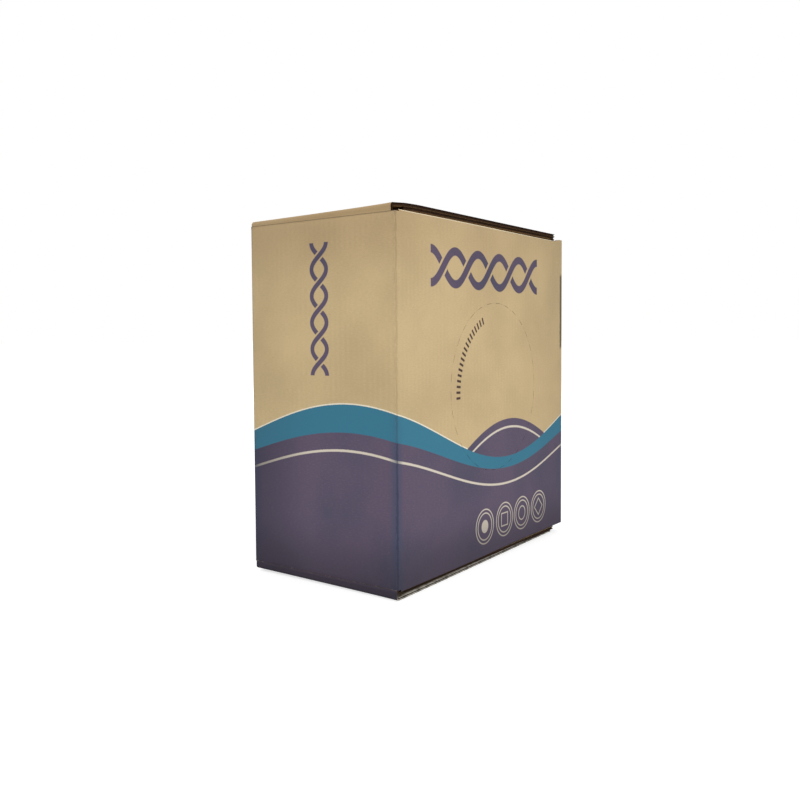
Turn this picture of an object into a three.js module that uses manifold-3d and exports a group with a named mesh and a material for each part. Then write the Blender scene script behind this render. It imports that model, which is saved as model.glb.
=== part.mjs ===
// A corrugated kraft carton that holds a coil of network cable. The cable is drawn from the
// middle of the coil through a round knock-out in the large front panel.
// Millimetres, +Z up. The origin is on the ground under the middle of the carton, the front
// panel faces -Y and the narrow left panel faces -X.
import * as THREE from "three";
import { mergeGeometries, mergeVertices } from "three/addons/utils/BufferGeometryUtils.js";
import Module from "manifold-3d";

const wasm = await Module();
wasm.setup();

// The coil of cable that the carton is made for. It stands on the dust flaps and its axis
// runs from front to back.
const coilRadius = 171;
const coilWidth = 168;
const coilEdgeRadius = 8;
const boreRadius = 95;
const cableDiameter = 5.3;
const windingGap = 0.7;
const windingEndRoom = 2;
const innerTurns = 24;
const stepsPerTurn = 24;
const cableSides = 6;

// Room round the coil inside the carton.
const coilSideRoom = 2;
const coilEndRoom = 6;
const coilTopRoom = 8;

// Three-ply board: two liners on a fluted medium.
const boardThickness = 3;
const linerThickness = 0.6;
const mediumThickness = 0.5;
const flutePitch = 6.4;
const fluteCutDepth = 12;
const edgeCrushDepth = 2.5;

// Clearance between layers that lie on each other, and between panels that share a crease.
const layerGap = 0.3;

// The joint at the front right corner, where the blank closes into a tube.
const glueTabWidth = 35;
const jointRecess = 3;

// Flaps. The outer ones nearly reach the far panel, the dust flaps meet in the middle. The
// two flaps beside the glue joint are cut back further there.
const flapShortfall = 20;
const flapSideRelief = 5;
const jointFlapRelief = 12;
const dustFlapSideRelief = 6;
const jointDustFlapRelief = 21;
const dustFlapMeetingGap = 1;
const dustFoldRadius = 1.5;
const rightFoldRadius = 4;
const leftFoldRadius = 4.5;

// The perforated knock-out in the front panel, its middle given from the panel's middle.
const knockoutRadius = 91;
const knockoutOffsetX = 8;
const knockoutOffsetZ = 5;
const perforationGap = 0.3;
const circleSegments = 48;

// The hand slot that starts in the right panel's front fold, placed down from the top crease.
const slotTopDistance = 40;
const slotHeight = 90;
const slotWidth = 30;
const slotCornerRadius = 10;

// Bands round the coil's section.
const tieCount = 4;
const tieWidth = 12;
const tieThickness = 0.8;
const tieGap = 0.4;

// The carton over its outside faces; the height is from crease to crease.
const cartonWidth = 2 * (coilRadius + coilSideRoom + boardThickness);
const cartonDepth = coilWidth + 2 * (coilEndRoom + boardThickness);
const panelHeight = 2 * coilRadius + coilTopRoom;

const layerHeight = boardThickness + layerGap;
const bottomCrease = 3 * layerHeight;
const topCrease = bottomCrease + panelHeight;

const kraft = new THREE.Color("rgb(198, 176, 135)");
const jacketGrey = new THREE.Color("rgb(150, 155, 160)");
const bandWhite = new THREE.Color("rgb(225, 225, 220)");

const spoolBox = new THREE.Group();

function addPiece(parent, name, geometry, color, roughness) {
  const material = new THREE.MeshStandardMaterial({ color, roughness, metalness: 0 });
  const mesh = new THREE.Mesh(geometry, material);
  mesh.name = name;
  parent.add(mesh);
  return mesh;
}

function toSolid(geometry) {
  const bare = geometry.index ? geometry.toNonIndexed() : geometry.clone();
  bare.deleteAttribute("normal");
  bare.deleteAttribute("uv");
  const merged = mergeVertices(bare, 1e-4);
  return new wasm.Manifold(
    new wasm.Mesh({
      numProp: 3,
      vertProperties: merged.attributes.position.array,
      triVerts: new Uint32Array(merged.index.array),
    }),
  );
}

function toGeometry(solid) {
  const { vertProperties, triVerts } = solid.getMesh();
  const geometry = new THREE.BufferGeometry();
  geometry.setAttribute("position", new THREE.BufferAttribute(vertProperties, 3));
  geometry.setIndex(new THREE.BufferAttribute(triVerts, 1));
  geometry.computeVertexNormals();
  return geometry;
}

function cut(geometry, ...cutters) {
  const solid = cutters.reduce(
    (left, cutter) => left.subtract(toSolid(cutter)),
    toSolid(geometry),
  );
  return toGeometry(solid);
}

function extrude(shape, depth, curveSegments = 6) {
  return new THREE.ExtrudeGeometry(shape, { depth, curveSegments, bevelEnabled: false });
}

function boxAt(low, high) {
  const size = high.map((value, axis) => value - low[axis]);
  const middle = high.map((value, axis) => (value + low[axis]) / 2);
  return new THREE.BoxGeometry(...size).translate(...middle);
}

// The plan of a wall panel: its length runs along x and its outside face is y = 0. An end
// that folds into the next panel is rounded by the board's thickness and stops on the mitre,
// half a gap short; a raw end is square.
function panelPlan(length, foldAtStart, foldAtEnd) {
  const radius = boardThickness;
  const mitreAngle = Math.PI / 4 - Math.asin(layerGap / 2 / radius);
  const innerSetback = (layerGap / 2) * Math.SQRT2;
  const plan = new THREE.Shape();
  plan.moveTo(foldAtStart ? radius : 0, 0);
  if (foldAtEnd) {
    plan.lineTo(length - radius, 0);
    plan.absarc(length - radius, radius, radius, -Math.PI / 2, -Math.PI / 2 + mitreAngle);
    plan.lineTo(length - radius - innerSetback, radius);
  } else {
    plan.lineTo(length, 0);
    plan.lineTo(length, radius);
  }
  if (foldAtStart) {
    plan.lineTo(radius + innerSetback, radius);
    const mitreStart = -Math.PI / 2 - mitreAngle;
    plan.absarc(radius, radius, radius, mitreStart, -Math.PI / 2);
  } else {
    plan.lineTo(0, radius);
  }
  return plan;
}

function panelSolid(length, foldAtStart, foldAtEnd) {
  return extrude(panelPlan(length, foldAtStart, foldAtEnd), panelHeight, 3);
}

// A ring of rectangular section round the y axis.
function ringCutter(innerRadius, outerRadius, lowY, highY) {
  const section = [
    [innerRadius, lowY],
    [outerRadius, lowY],
    [outerRadius, highY],
    [innerRadius, highY],
    [innerRadius, lowY],
  ];
  return new THREE.LatheGeometry(
    section.map(([x, y]) => new THREE.Vector2(x, y)),
    circleSegments,
  );
}

// Where the board is cut across, the medium is crushed back between the two liners.
function knockoutCutters(middleX, middleHeight) {
  const hole = new THREE.CylinderGeometry(
    knockoutRadius,
    knockoutRadius,
    3 * boardThickness,
    circleSegments,
  );
  const rim = ringCutter(
    knockoutRadius - 1,
    knockoutRadius + edgeCrushDepth,
    linerThickness,
    boardThickness - linerThickness,
  );
  return [hole, rim].map((cutter) => cutter.translate(middleX, 0, middleHeight));
}

function knockoutDiscSolid() {
  const radius = knockoutRadius - perforationGap;
  const profile = [
    [0, 0],
    [radius, 0],
    [radius, linerThickness],
    [radius - edgeCrushDepth, linerThickness],
    [radius - edgeCrushDepth, boardThickness - linerThickness],
    [radius, boardThickness - linerThickness],
    [radius, boardThickness],
    [0, boardThickness],
  ];
  return new THREE.LatheGeometry(
    profile.map(([x, y]) => new THREE.Vector2(x, y)),
    circleSegments,
  );
}

// The slot's outline, upright, opened through the board along y. It starts in the fold, so
// only its far corners are rounded.
function slotCutter() {
  const low = panelHeight - slotTopDistance - slotHeight;
  const high = low + slotHeight;
  const radius = slotCornerRadius;
  const outline = new THREE.Shape();
  outline.moveTo(-boardThickness, low);
  outline.lineTo(slotWidth - radius, low);
  outline.absarc(slotWidth - radius, low + radius, radius, -Math.PI / 2, 0);
  outline.absarc(slotWidth - radius, high - radius, radius, 0, Math.PI / 2);
  outline.lineTo(-boardThickness, high);
  return extrude(outline, 3 * boardThickness)
    .rotateX(Math.PI / 2)
    .translate(0, 2 * boardThickness, 0);
}

function addWalls() {
  const walls = new THREE.Group();
  walls.position.z = bottomCrease;
  spoolBox.add(walls);

  const halfWidth = cartonWidth / 2;
  const halfDepth = cartonDepth / 2;
  const frontLength = cartonWidth - jointRecess;
  const knockoutHeight = panelHeight / 2 + knockoutOffsetZ;
  const frontSolid = cut(
    panelSolid(frontLength, true, false),
    ...knockoutCutters(halfWidth + knockoutOffsetX, knockoutHeight),
  );
  const front = addPiece(walls, "front_panel", frontSolid, kraft, 0.85);
  front.position.set(-halfWidth, -halfDepth, 0);

  const left = addPiece(walls, "left_panel", panelSolid(cartonDepth, true, true), kraft, 0.85);
  left.position.set(-halfWidth, halfDepth, 0);
  left.rotation.z = -Math.PI / 2;

  const back = addPiece(walls, "back_panel", panelSolid(cartonWidth, true, true), kraft, 0.85);
  back.position.set(halfWidth, halfDepth, 0);
  back.rotation.z = Math.PI;

  const rightLength = cartonDepth - layerHeight;
  const rightSolid = cut(panelSolid(rightLength, true, true), slotCutter());
  const right = addPiece(walls, "right_panel", rightSolid, kraft, 0.85);
  right.position.set(halfWidth, -halfDepth + layerHeight, 0);
  right.rotation.z = Math.PI / 2;

  const tabSlot = boxAt(
    [glueTabWidth - boardThickness, -boardThickness, panelHeight - slotTopDistance - slotHeight],
    [glueTabWidth + boardThickness, 2 * boardThickness, panelHeight - slotTopDistance],
  );
  const tabSolid = cut(panelSolid(glueTabWidth, false, true), tabSlot);
  const tab = addPiece(walls, "glue_tab", tabSolid, kraft, 0.9);
  tab.position.set(halfWidth - glueTabWidth, -halfDepth + layerHeight, 0);

  const disc = addPiece(walls, "knockout_disc", knockoutDiscSolid(), kraft, 0.85);
  disc.position.set(knockoutOffsetX, -halfDepth, knockoutHeight);
}

// The section of a flap: x runs inwards from the crease and y away from the carton. The board
// leaves the crease upright, rolls over by the fold's radius and lies flat at its own layer.
function flapSection(length, layer, foldRadius) {
  const rise = layer * layerHeight;
  const innerRadius = foldRadius - boardThickness;
  const section = new THREE.Shape();
  section.moveTo(boardThickness, layerGap);
  if (innerRadius > 0) {
    section.lineTo(boardThickness, rise - foldRadius);
    section.absarc(foldRadius, rise - foldRadius, innerRadius, Math.PI, Math.PI / 2, true);
  } else {
    section.lineTo(boardThickness, rise - boardThickness);
  }
  section.lineTo(length, rise - boardThickness);
  section.lineTo(length, rise);
  section.lineTo(foldRadius, rise);
  section.absarc(foldRadius, rise - foldRadius, foldRadius, Math.PI / 2, Math.PI);
  section.lineTo(0, layerGap);
  return section;
}

// One open channel of the fluted medium, a trapezium between the liners.
function fluteChannel(middle, rise, pointsUp) {
  const low = rise - boardThickness + linerThickness;
  const high = rise - linerThickness;
  const room = flutePitch / 2 - mediumThickness;
  const wide = 0.8 * room;
  const narrow = room - wide;
  const [lowHalf, highHalf] = pointsUp ? [wide, narrow] : [narrow, wide];
  const channel = new THREE.Shape();
  channel.moveTo(middle - lowHalf, low);
  channel.lineTo(middle + lowHalf, low);
  channel.lineTo(middle + highHalf, high);
  channel.lineTo(middle - highHalf, high);
  return extrude(channel, fluteCutDepth + 1);
}

// Every flute runs the length of the flap, so its free end shows the open channels, one
// against each liner in turn.
function fluteCutters(length, width, rise) {
  const count = Math.floor((width - 2 * edgeCrushDepth) / flutePitch) * 2 - 1;
  const channels = Array.from({ length: count }, (_, index) => {
    const middle = ((index - (count - 1) / 2) * flutePitch) / 2;
    return fluteChannel(middle, rise, index % 2 === 0);
  });
  return mergeGeometries(channels)
    .rotateY(Math.PI / 2)
    .rotateX(Math.PI / 2)
    .translate(length - fluteCutDepth, 0, 0);
}

// Along the flap's sides the cut follows a flute, so the liners stand apart.
function sideGrooves(length, width, rise, foldRadius) {
  return [-1, 1].map((side) => {
    const inner = (side * width) / 2 - side * edgeCrushDepth;
    const outer = (side * width) / 2 + side;
    return boxAt(
      [foldRadius, Math.min(inner, outer), rise - boardThickness + linerThickness],
      [length + 1, Math.max(inner, outer), rise - linerThickness],
    );
  });
}

// A flap lies in the frame of its crease: x inwards, z away from the carton. For the bottom
// the same frame is turned over.
function addFlap({ name, crease, heading, atTop, length, width, layer, foldRadius, fluted }) {
  const frame = new THREE.Group();
  frame.position.set(...crease, atTop ? topCrease : bottomCrease);
  frame.rotation.set(atTop ? 0 : Math.PI, 0, heading, "ZYX");
  spoolBox.add(frame);
  const rise = layer * layerHeight;
  const plate = extrude(flapSection(length, layer, foldRadius), width, 5)
    .translate(0, 0, -width / 2)
    .rotateX(Math.PI / 2);
  const solid = fluted
    ? cut(plate, ...sideGrooves(length, width, rise, foldRadius), fluteCutters(length, width, rise))
    : plate;
  addPiece(frame, name, solid, kraft, 0.85);
}

function addFlaps(atTop) {
  const end = atTop ? "top" : "bottom";
  const longFlap = { atTop, length: cartonWidth - flapShortfall, fluted: true };
  const dustFlap = {
    atTop,
    length: (cartonDepth - dustFlapMeetingGap) / 2,
    layer: 1,
    foldRadius: dustFoldRadius,
    fluted: false,
  };
  const halfWidth = cartonWidth / 2;
  const halfDepth = cartonDepth / 2;
  addFlap({
    ...longFlap,
    name: `${end}_left_flap`,
    crease: [-halfWidth, 0],
    heading: 0,
    width: cartonDepth - 2 * flapSideRelief,
    layer: 3,
    foldRadius: leftFoldRadius,
  });
  addFlap({
    ...longFlap,
    name: `${end}_right_flap`,
    crease: [halfWidth, (jointFlapRelief - flapSideRelief) / 2],
    heading: Math.PI,
    width: cartonDepth - flapSideRelief - jointFlapRelief,
    layer: 2,
    foldRadius: rightFoldRadius,
  });
  addFlap({
    ...dustFlap,
    name: `${end}_front_dust_flap`,
    crease: [(dustFlapSideRelief - jointDustFlapRelief) / 2, -halfDepth],
    heading: Math.PI / 2,
    width: cartonWidth - dustFlapSideRelief - jointDustFlapRelief,
  });
  addFlap({
    ...dustFlap,
    name: `${end}_back_dust_flap`,
    crease: [0, halfDepth],
    heading: -Math.PI / 2,
    width: cartonWidth - 2 * dustFlapSideRelief,
  });
}

// The packed layers of the coil as one ring with softened edges, round the y axis.
function coilBodySolid() {
  const halfWidth = coilWidth / 2;
  const inner = boreRadius + cableDiameter + windingGap;
  const section = new THREE.Path();
  section.moveTo(inner, -halfWidth);
  section.lineTo(coilRadius - coilEdgeRadius, -halfWidth);
  section.absarc(
    coilRadius - coilEdgeRadius,
    -halfWidth + coilEdgeRadius,
    coilEdgeRadius,
    -Math.PI / 2,
    0,
  );
  section.absarc(
    coilRadius - coilEdgeRadius,
    halfWidth - coilEdgeRadius,
    coilEdgeRadius,
    0,
    Math.PI / 2,
  );
  section.lineTo(inner, halfWidth);
  section.lineTo(inner, -halfWidth);
  return new THREE.LatheGeometry(section.getPoints(3), circleSegments);
}

// The innermost layer: an even helix round the y axis, with a straight end one cable
// diameter long at each side.
class InnerLayerCurve extends THREE.Curve {
  constructor() {
    super();
    this.radius = boreRadius + cableDiameter / 2;
    this.pitch = (coilWidth - cableDiameter - windingEndRoom) / innerTurns;
    this.turnLength = Math.hypot(2 * Math.PI * this.radius, this.pitch);
    this.total = innerTurns * this.turnLength + 2 * cableDiameter;
    this.arcLengthDivisions = innerTurns * stepsPerTurn * 4;
  }

  onHelix(turn) {
    const angle = 2 * Math.PI * turn;
    const y = (turn - innerTurns / 2) * this.pitch;
    return new THREE.Vector3(this.radius * Math.cos(angle), y, this.radius * Math.sin(angle));
  }

  getPoint(share, target = new THREE.Vector3()) {
    const turn = (share * this.total - cableDiameter) / this.turnLength;
    const nearest = THREE.MathUtils.clamp(turn, 0, innerTurns);
    const beyond = (turn - nearest) * this.turnLength;
    const angle = 2 * Math.PI * nearest;
    const along = new THREE.Vector3(
      -2 * Math.PI * this.radius * Math.sin(angle),
      this.pitch,
      2 * Math.PI * this.radius * Math.cos(angle),
    ).normalize();
    return target.copy(this.onHelix(nearest)).addScaledVector(along, beyond);
  }
}

// The least distance between two turns, less the cable's diameter, on the curve's points.
function leastWindingGap(curve, steps) {
  const points = curve.getSpacedPoints(steps);
  const apart = Math.floor(stepsPerTurn / 2);
  let least = Infinity;
  for (let i = 0; i < points.length; i++) {
    for (let j = i + apart; j < points.length; j++) {
      least = Math.min(least, points[i].distanceTo(points[j]));
    }
  }
  return least - cableDiameter;
}

function innerLayerSolid() {
  const curve = new InnerLayerCurve();
  const steps = innerTurns * stepsPerTurn + 2;
  const section = new THREE.Shape(
    Array.from({ length: cableSides }, (_, side) => {
      const angle = (2 * Math.PI * side) / cableSides;
      const radius = cableDiameter / 2;
      return new THREE.Vector2(radius * Math.cos(angle), radius * Math.sin(angle));
    }),
  );
  console.log("least gap between turns, mm:", leastWindingGap(curve, steps).toFixed(2));
  return new THREE.ExtrudeGeometry(section, { steps, extrudePath: curve, bevelEnabled: false });
}

function roundedRectangle(path, low, high, radius) {
  path.moveTo(low.x + radius, low.y);
  path.lineTo(high.x - radius, low.y);
  path.absarc(high.x - radius, low.y + radius, radius, -Math.PI / 2, 0);
  path.lineTo(high.x, high.y - radius);
  path.absarc(high.x - radius, high.y - radius, radius, 0, Math.PI / 2);
  path.lineTo(low.x + radius, high.y);
  path.absarc(low.x + radius, high.y - radius, radius, Math.PI / 2, Math.PI);
  path.lineTo(low.x, low.y + radius);
  path.absarc(low.x + radius, low.y + radius, radius, Math.PI, 1.5 * Math.PI);
  return path;
}

// A flat band round the coil's section, through the bore and over the outside. In the bore
// its two edges come nearest to the winding.
function tieSolid() {
  const halfStep = Math.PI / stepsPerTurn;
  const layerRadius = boreRadius + cableDiameter / 2;
  const clearRadius = layerRadius * Math.cos(halfStep) - cableDiameter / 2 - tieGap;
  const boreSide = Math.sqrt(clearRadius ** 2 - (tieWidth / 2) ** 2);
  const low = new THREE.Vector2(boreSide, -coilWidth / 2 - tieGap);
  const high = new THREE.Vector2(coilRadius + tieGap, coilWidth / 2 + tieGap);
  const wall = new THREE.Vector2(tieThickness, tieThickness);
  const band = roundedRectangle(
    new THREE.Shape(),
    low.clone().sub(wall),
    high.clone().add(wall),
    tieThickness,
  );
  band.holes.push(roundedRectangle(new THREE.Path(), low, high, tieThickness / 2));
  return extrude(band, tieWidth, 2).translate(0, 0, -tieWidth / 2);
}

function addCoil() {
  const coil = new THREE.Group();
  coil.position.z = bottomCrease + coilRadius;
  spoolBox.add(coil);
  addPiece(coil, "cable_coil", coilBodySolid(), jacketGrey, 0.55);
  addPiece(coil, "cable_inner_layer", innerLayerSolid(), jacketGrey, 0.55);
  for (let index = 0; index < tieCount; index++) {
    const tie = addPiece(coil, `coil_tie_${index + 1}`, tieSolid(), bandWhite, 0.4);
    tie.rotation.y = (2 * Math.PI * (index + 0.5)) / tieCount;
  }
}

addWalls();
addFlaps(true);
addFlaps(false);
addCoil();

export default spoolBox;
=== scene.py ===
import math

import bmesh
import bpy
import numpy as np
from mathutils import Matrix, Vector


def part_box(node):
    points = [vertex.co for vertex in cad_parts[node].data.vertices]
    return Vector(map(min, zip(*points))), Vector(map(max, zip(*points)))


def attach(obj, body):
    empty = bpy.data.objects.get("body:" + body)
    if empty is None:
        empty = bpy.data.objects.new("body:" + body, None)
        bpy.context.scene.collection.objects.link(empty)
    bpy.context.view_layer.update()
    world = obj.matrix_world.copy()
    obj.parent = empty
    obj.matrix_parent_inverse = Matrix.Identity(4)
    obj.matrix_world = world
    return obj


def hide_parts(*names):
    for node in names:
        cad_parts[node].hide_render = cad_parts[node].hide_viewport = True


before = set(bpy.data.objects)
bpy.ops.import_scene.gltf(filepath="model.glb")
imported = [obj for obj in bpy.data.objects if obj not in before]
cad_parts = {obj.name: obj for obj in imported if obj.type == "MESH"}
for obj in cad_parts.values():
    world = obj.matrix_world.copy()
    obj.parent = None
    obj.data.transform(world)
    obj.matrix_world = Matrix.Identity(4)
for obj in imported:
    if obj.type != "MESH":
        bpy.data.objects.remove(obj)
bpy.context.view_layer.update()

mm = 0.001
fullTurn = 2 * math.pi

# what the board is made of; its thickness comes from the frame
board = {
    "liner": 0.42 * mm,
    "medium": 0.26 * mm,
    "flutePitch": 6.4 * mm,
    "pointsPerFlute": 12,
    "edgeRecess": 2.6 * mm,  # how far the medium stops behind a cut made along a flute
    "trim": 0.2 * mm,  # and behind a cut across the flutes
    "cornerRadius": 1.6 * mm,
    "creaseDent": 0.45 * mm,
    "creaseReach": 3.0 * mm,
    "bow": 0.5 * mm,  # how far a panel wanders out of flat, always inwards
    "bowFrom": 30 * mm,
    # the wear values below also set the painted shade in creases and on folds
    "creaseWear": (0.8, 0.2, 1.1 * mm),  # on narrow and on wide panels, and its reach
    "foldWear": (0.5, 5 * mm, 1.2 * mm),  # and its reach into narrow and into wide panels
    "cornerWear": (0.3, 7 * mm),
    "sideWear": (0.5, 1.5 * mm),  # of a flap's cut sides
    "fine": [0, 0.35, 0.7, 1.05, 1.4, 1.75, 2.1, 2.5, 3.2, 4.5, 6.5],  # mm from a crease
    "fineReach": 9 * mm,
    "sharpAngle": 35,  # degrees between faces, past which an edge stays sharp
}

# sizes read from the frame
frontLow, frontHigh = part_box("front_panel")
backLow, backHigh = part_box("back_panel")
tabLow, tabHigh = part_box("glue_tab")
discLow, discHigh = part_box("knockout_disc")

west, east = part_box("left_panel")[0].x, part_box("right_panel")[1].x
south, north = frontLow.y, backHigh.y
creaseLow, creaseHigh = frontLow.z, frontHigh.z
thickness = backHigh.y - backLow.y
panelHeight = creaseHigh - creaseLow
cartonWidth = east - west
cartonDepth = north - south
halfBlank = cartonWidth + cartonDepth  # left and front panel side by side
print("carton", round(cartonWidth, 4), round(cartonDepth, 4), round(panelHeight, 4))


# A display colour as linear light, by the sRGB curve.
def srgb(red, green, blue):
    values = np.array([red, green, blue]) / 255
    linear = np.where(values <= 0.04045, values / 12.92, ((values + 0.055) / 1.055) ** 2.4)
    return (*linear.tolist(), 1.0)


# From 0 at low to 1 at high by three squares less two cubes, level at both ends.
def smoothStep(low, high, value):
    share = np.clip((value - low) / (high - low), 0, 1)
    return share * share * (3 - 2 * share)


# A slow wander between 0 and 1, the same on every run: sines times cosines of both ways, in
# three octaves.
def wander(u, v, seed):
    total = np.zeros(np.broadcast(u, v).shape)
    for octave, weight in ((1, 0.5), (2, 0.3), (3, 0.2)):
        phase = seed * 1.7 + octave * 2.3
        wave = np.sin(u * 14 * octave + v * 9 * octave + phase)
        total = total + weight * wave * np.cos(v * 17 * octave - u * 5 * octave + phase * 1.3)
    return 0.5 + 0.5 * total


# meshes
# Two grids of points with the same rows and columns become one closed sheet: the first grid
# is its outside, the second its inside, and quads round the border join them. The slots are
# the materials of its outside, inside and border; blank and the value of wear and painted
# shade are kept for every point.
def closedSheet(outer, inner, slots, blank, wearAndShade, wrap=False):
    rows, columns = outer.shape[:2]
    count = rows * columns
    index = np.arange(count).reshape(rows, columns)
    if wrap:
        index = np.concatenate([index, index[:, :1]], axis=1)
        loops = [index[0], index[-1][::-1]]
    else:
        loops = [np.concatenate([index[0], index[1:, -1], index[-1, -2::-1], index[-2::-1, 0]])]
    corners = (index[:-1, :-1], index[1:, :-1], index[1:, 1:], index[:-1, 1:])
    front = np.stack([corner.ravel() for corner in corners], axis=1)
    rim = np.concatenate([
        np.stack([loop[:-1], loop[1:], loop[1:] + count, loop[:-1] + count], axis=1)
        for loop in loops
    ])
    quads = np.concatenate([front, front[:, ::-1] + count, rim])
    slots = np.repeat(slots, [len(front), len(front), len(rim)])
    points = np.concatenate([outer.reshape(-1, 3), inner.reshape(-1, 3)])
    a, b, c, d = (points[quads[:, i]] for i in range(4))
    volume = np.einsum("ij,ij->", a, np.cross(b, c)) + np.einsum("ij,ij->", a, np.cross(c, d))
    if volume < 0:
        quads = quads[:, ::-1]
    return {"points": points, "quads": quads, "slots": slots,
            "blank": np.tile(blank.reshape(-1, 2), (2, 1)), "wearAndShade": np.tile(wearAndShade.ravel(), 2)}


# Joins sheets into one mesh object, with the place on the flat blank as its UV map.
def buildPiece(name, sheets, materials, weld=False):
    starts = np.cumsum([0] + [len(sheet["points"]) for sheet in sheets])
    quads = np.concatenate([sheet["quads"] + start for sheet, start in zip(sheets, starts)])
    points, slots, blank, wearAndShade = (
        np.concatenate([sheet[key] for sheet in sheets])
        for key in ("points", "slots", "blank", "wearAndShade")
    )
    mesh = bpy.data.meshes.new(name)
    mesh.from_pydata(points, [], quads)
    for material in materials:
        mesh.materials.append(material)
    mesh.polygons.foreach_set("material_index", slots.astype(np.int32))
    layer = mesh.uv_layers.new(name="blank")
    layer.data.foreach_set("uv", blank[quads.ravel()].astype(np.float32).ravel())
    rubbing = mesh.attributes.new("wearAndShade", "FLOAT", "POINT")
    rubbing.data.foreach_set("value", wearAndShade.astype(np.float32))
    if weld:
        weldPoles(mesh)
    mesh.polygons.foreach_set("use_smooth", np.ones(len(mesh.polygons), bool))
    mesh.set_sharp_from_angle(angle=math.radians(board["sharpAngle"]))
    piece = bpy.data.objects.new(name, mesh)
    bpy.context.scene.collection.objects.link(piece)
    return piece


# Points that lie on each other become one, so that a disc's middle is closed.
def weldPoles(mesh):
    shape = bmesh.new()
    shape.from_mesh(mesh)
    bmesh.ops.remove_doubles(shape, verts=shape.verts, dist=0.001 * mm)
    shape.to_mesh(mesh)
    shape.free()


# the plan of a folded sheet
# A path is the sheet's outside line and its inside line, point for point, and the length so
# far along the outside.
def pathFrom(outer, inner):
    outer, inner = np.array(outer, float), np.array(inner, float)
    steps = np.hypot(*np.diff(outer, axis=0).T)
    at = np.concatenate([[0], np.cumsum(steps)])
    return {"at": at, "outer": outer, "across": (inner - outer) / thickness}


# A wall panel in plan: half a fold at each folded end, cut on its diagonal. The outside is
# rounded by an eighth of a circle, the inside turns in a sharp corner.
def wallPath(length, foldStart, foldEnd):
    radius, turn = board["cornerRadius"], np.linspace(math.pi / 4, 0, 9)
    roundX, roundY = radius - radius * np.sin(turn), radius - radius * np.cos(turn)
    outer, inner = [], []
    if foldStart:
        outer += list(zip(roundX, roundY))
        inner += [(thickness, thickness)] * len(turn)
    outer.append((radius if foldStart else 0, 0))
    inner.append((thickness if foldStart else 0, thickness))
    outer.append((length - (radius if foldEnd else 0), 0))
    inner.append((length - (thickness if foldEnd else 0), thickness))
    if foldEnd:
        outer += list(zip(length - roundX[::-1], roundY[::-1]))
        inner += [(length - thickness, thickness)] * len(turn)
    return pathFrom(outer, inner)


# A flap in section: up from the crease, over by a quarter circle of the fold's radius, and
# flat to its end.
def flapPath(length, rise, radius):
    turn = np.linspace(0, math.pi / 2, 13)
    inside, middle = max(radius - thickness, 0), max(radius, thickness)
    outerTurn = zip(radius - radius * np.cos(turn), rise - radius + radius * np.sin(turn))
    innerTurn = zip(middle - inside * np.cos(turn), rise - middle + inside * np.sin(turn))
    outer = [(0, 0), *outerTurn, (length, rise)]
    inner = [(thickness, 0), *innerTurn, (length, rise - thickness)]
    return pathFrom(outer, inner)


# Points of a folded sheet: its path's point at s, moved by depth from its outside line towards
# its inside line, by w along the fold and by sink towards the carton.
def sheetPoints(sheet, s, w, depth, sink):
    path = sheet["path"]
    x, y = (np.interp(s, path["at"], path["outer"][:, i]) for i in (0, 1))
    acrossX, acrossY = (np.interp(s, path["at"], path["across"][:, i]) for i in (0, 1))
    x = (x + depth * acrossX)[..., None]
    y = (y + depth * acrossY - sink)[..., None]
    origin, along, inward, across = (np.array(v, float) for v in sheet["place"])
    return origin + x * along + y * inward + w[..., None] * across


# Both liners of a sheet on a grid of s and w, each as thick as the paper, set in by the dent.
def liners(sheet, s, w, dent, blank, wearAndShade, wrap=False, sink=0.0):
    skin = board["liner"]
    sheets = []
    for top, slots in ((0.0, (0, 3, 2)), (thickness - skin, (3, 1, 2))):
        outer = sheetPoints(sheet, s, w, top + dent, sink)
        inner = sheetPoints(sheet, s, w, top + skin + dent, sink)
        sheets.append(closedSheet(outer, inner, slots, blank, wearAndShade, wrap))
    return sheets


# The fluted medium: its middle swings from liner to liner as the wave goes from -1 to 1, and
# it keeps that wave as its wear.
def medium(sheet, s, w, wave, dent, blank, wrap=False, sink=0.0):
    half = board["medium"] / 2
    reach = thickness / 2 - board["liner"] - half
    middle = thickness / 2 + reach * wave + dent
    outer = sheetPoints(sheet, s, w, middle - half, sink)
    inner = sheetPoints(sheet, s, w, middle + half, sink)
    return closedSheet(outer, inner, (3, 3, 3), blank, wave + 0 * s, wrap)


# How far a wall's face stands back: a slow bow, and along the creases of the two narrow
# panels, whose flaps are turned over by their neighbours, a dent that falls off as a bell.
def panelDent(wall, s, w):
    if wall["seed"] is None:
        return 0 * s
    edge, side = np.minimum(w, panelHeight - w), np.minimum(s, wall["total"] - s)
    deep = board["creaseDent"] if wall["narrow"] else 0
    crease = deep * np.exp(-((edge / board["creaseReach"]) ** 2))
    inside = smoothStep(0, board["bowFrom"], side) * smoothStep(0, board["bowFrom"], edge)
    return crease + board["bow"] * inside * wander(s, w, wall["seed"])


# Wear is 1 on a pressed crease, less on an upright fold, most where they meet. A fold shows
# further into the narrow panels, and the creases of the wide ones carry no pressed line. The
# same value sets the painted shade in a crease.
def panelWear(wall, s, w):
    if wall["seed"] is None:
        return 0 * s
    edge, side = np.minimum(w, panelHeight - w), np.minimum(s, wall["total"] - s)
    narrowCrease, wideCrease, creaseReach = board["creaseWear"]
    foldMost, narrowReach, wideReach = board["foldWear"]
    cornerMost, cornerReach = board["cornerWear"]
    crease = narrowCrease if wall["narrow"] else wideCrease
    crease = crease * np.exp(-((edge / creaseReach) ** 2))
    fall = side / narrowReach if wall["narrow"] else (side / wideReach) ** 2
    corner = cornerMost * np.exp(-np.hypot(side, edge) / cornerReach)
    return np.maximum(crease, foldMost * np.exp(-fall)) + corner


# Even steps, so many to a flute.
def fluteSteps(low, high):
    count = int(round((high - low) / board["flutePitch"] * board["pointsPerFlute"])) + 1
    return np.linspace(low, high, count)


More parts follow.
